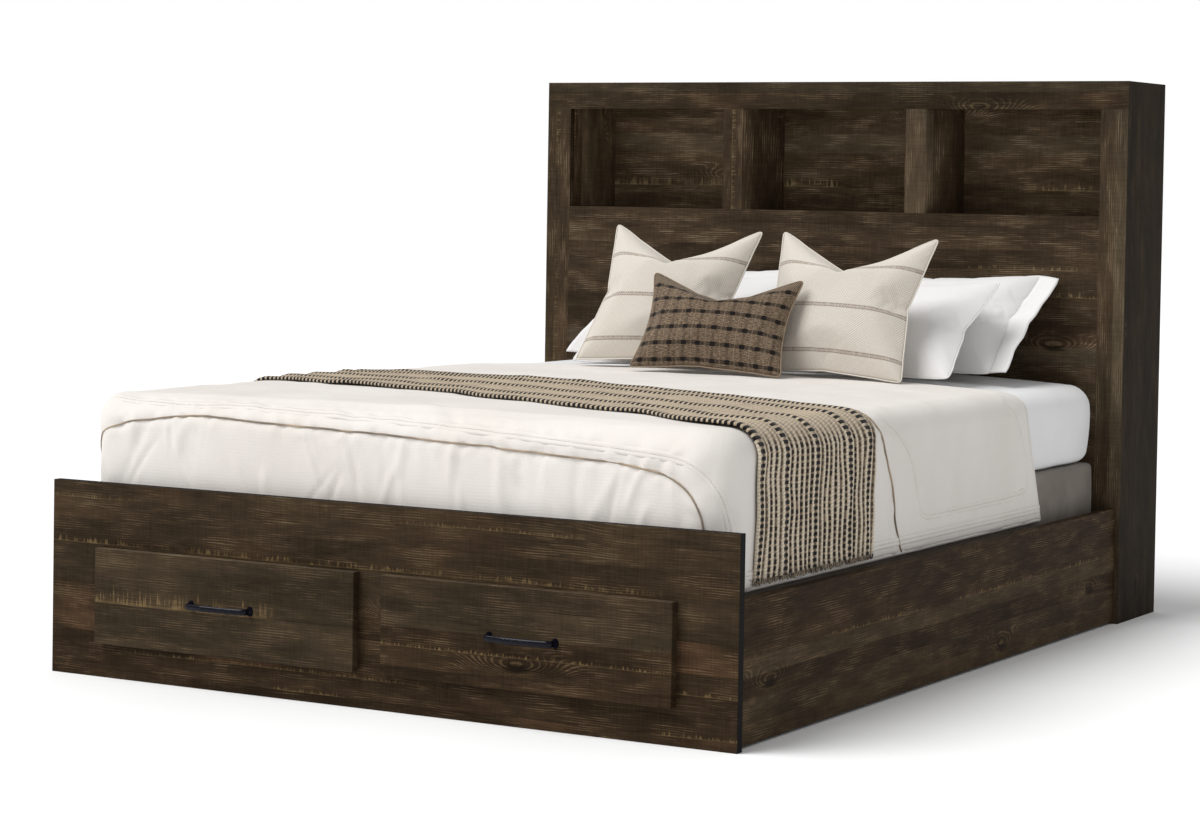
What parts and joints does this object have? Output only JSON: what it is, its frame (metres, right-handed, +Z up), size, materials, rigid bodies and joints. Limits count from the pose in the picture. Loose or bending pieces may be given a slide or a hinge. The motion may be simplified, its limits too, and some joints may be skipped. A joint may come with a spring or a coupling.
{
  "type": "storage bed",
  "caption": "Storage bed with a bookcase headboard, drawers in the footboard on roller slides, slatted base, mattress and full bedding.",
  "frame": {"origin": "centre of the bounding box at floor level", "axes": "+Z up, +Y from the footboard to the headboard, +X across the bed to the right as seen from the foot"},
  "size_m": [1.65, 2.403, 1.34],
  "materials": {
    "dark_wood": "dark brown wood-grain laminate, satin",
    "drawer_wood": "dark brown wood-grain laminate, satin",
    "plain_board": "brown laminated board, matt",
    "slat_wood": "bare pine, sanded",
    "steel": "zinc plated",
    "slide_metal": "epoxy coated steel",
    "nylon": "moulded nylon",
    "handle_black": "gloss black",
    "mattress_sheet": "smooth cotton",
    "foundation_cloth": "woven taupe cloth",
    "comforter_cloth": "quilted cotton, matt",
    "throw_knit": "ribbed knit, matt",
    "pillow_cotton": "smooth cotton",
    "linen_weave": "woven linen with stripes",
    "check_weave": "coarse woven check"
  },
  "bodies": {
    "root": {"bay_back_rail": "plain_board", "bay_partitions": "plain_board", "bay_side_left": "plain_board", "bay_side_right": "plain_board", "beam_hangers": "steel", "cabinet_channels": "slide_metal", "centre_beam": "slat_wood", "centre_legs": "slat_wood", "comforter": "comforter_cloth", "cubby_divider_left": "dark_wood", "cubby_divider_right": "dark_wood", "cubby_end_wall_left": "dark_wood", "cubby_end_wall_right": "dark_wood", "cushion_linen_left": "linen_weave", "cushion_linen_right": "linen_weave", "cushion_lumbar": "check_weave", "footboard_panel": "dark_wood", "foundation": "foundation_cloth", "headboard_back_panel": "dark_wood", "headboard_front_panel": "dark_wood", "headboard_shelf": "dark_wood", "headboard_side_left": "dark_wood", "headboard_side_right": "dark_wood", "headboard_stile_left": "dark_wood", "headboard_stile_right": "dark_wood", "headboard_stretcher": "plain_board", "headboard_top_board": "dark_wood", "headboard_top_rail": "dark_wood", "leg_glides": "nylon", "mattress": "mattress_sheet", "pillow_back_left": "pillow_cotton", "pillow_back_right": "pillow_cotton", "pillow_front_left": "pillow_cotton", "pillow_front_right": "pillow_cotton", "rail_bolts": "steel", "rail_brackets": "steel", "side_rail_left": "dark_wood", "side_rail_right": "dark_wood", "slat_ledge_left": "slat_wood", "slat_ledge_right": "slat_wood", "slats": "slat_wood", "throw": "throw_knit"},
    "drawer_left": {"drawer_left_front": "drawer_wood", "drawer_left_sides": "plain_board", "drawer_left_back": "plain_board", "drawer_left_bottom": "plain_board", "drawer_left_handle": "handle_black", "drawer_left_handle_screws": "steel", "drawer_left_slides": "slide_metal"},
    "front_rollers_left": {"front_rollers_left": "nylon"},
    "rear_rollers_left": {"rear_rollers_left": "nylon"},
    "drawer_right": {"drawer_right_front": "drawer_wood", "drawer_right_sides": "plain_board", "drawer_right_back": "plain_board", "drawer_right_bottom": "plain_board", "drawer_right_handle": "handle_black", "drawer_right_handle_screws": "steel", "drawer_right_slides": "slide_metal"},
    "front_rollers_right": {"front_rollers_right": "nylon"},
    "rear_rollers_right": {"rear_rollers_right": "nylon"}
  },
  "joints": [
    {"name": "drawer_left_slide", "type": "slide", "parent": "root", "child": "drawer_left", "axis": [0, -1, 0], "range_m": [0, 0.33]},
    {"name": "front_rollers_left_spin", "type": "hinge", "parent": "root", "child": "front_rollers_left", "pos_m": [-0.3635, -1.1335, 0.119], "axis": [1, 0, 0], "continuous": true},
    {"name": "rear_rollers_left_spin", "type": "hinge", "parent": "drawer_left", "child": "rear_rollers_left", "pos_m": [-0.3635, -0.7145, 0.1165], "axis": [1, 0, 0], "continuous": true},
    {"name": "drawer_right_slide", "type": "slide", "parent": "root", "child": "drawer_right", "axis": [0, -1, 0], "range_m": [0, 0.33]},
    {"name": "front_rollers_right_spin", "type": "hinge", "parent": "root", "child": "front_rollers_right", "pos_m": [0.3635, -1.1335, 0.119], "axis": [1, 0, 0], "continuous": true},
    {"name": "rear_rollers_right_spin", "type": "hinge", "parent": "drawer_right", "child": "rear_rollers_right", "pos_m": [0.3635, -0.7145, 0.1165], "axis": [1, 0, 0], "continuous": true}
  ],
  "couplings": [
    {"joint": "front_rollers_left_spin", "follows": "drawer_left_slide", "rad_per_m": 100},
    {"joint": "rear_rollers_left_spin", "follows": "drawer_left_slide", "rad_per_m": 100},
    {"joint": "front_rollers_right_spin", "follows": "drawer_right_slide", "rad_per_m": 100},
    {"joint": "rear_rollers_right_spin", "follows": "drawer_right_slide", "rad_per_m": 100}
  ]
}
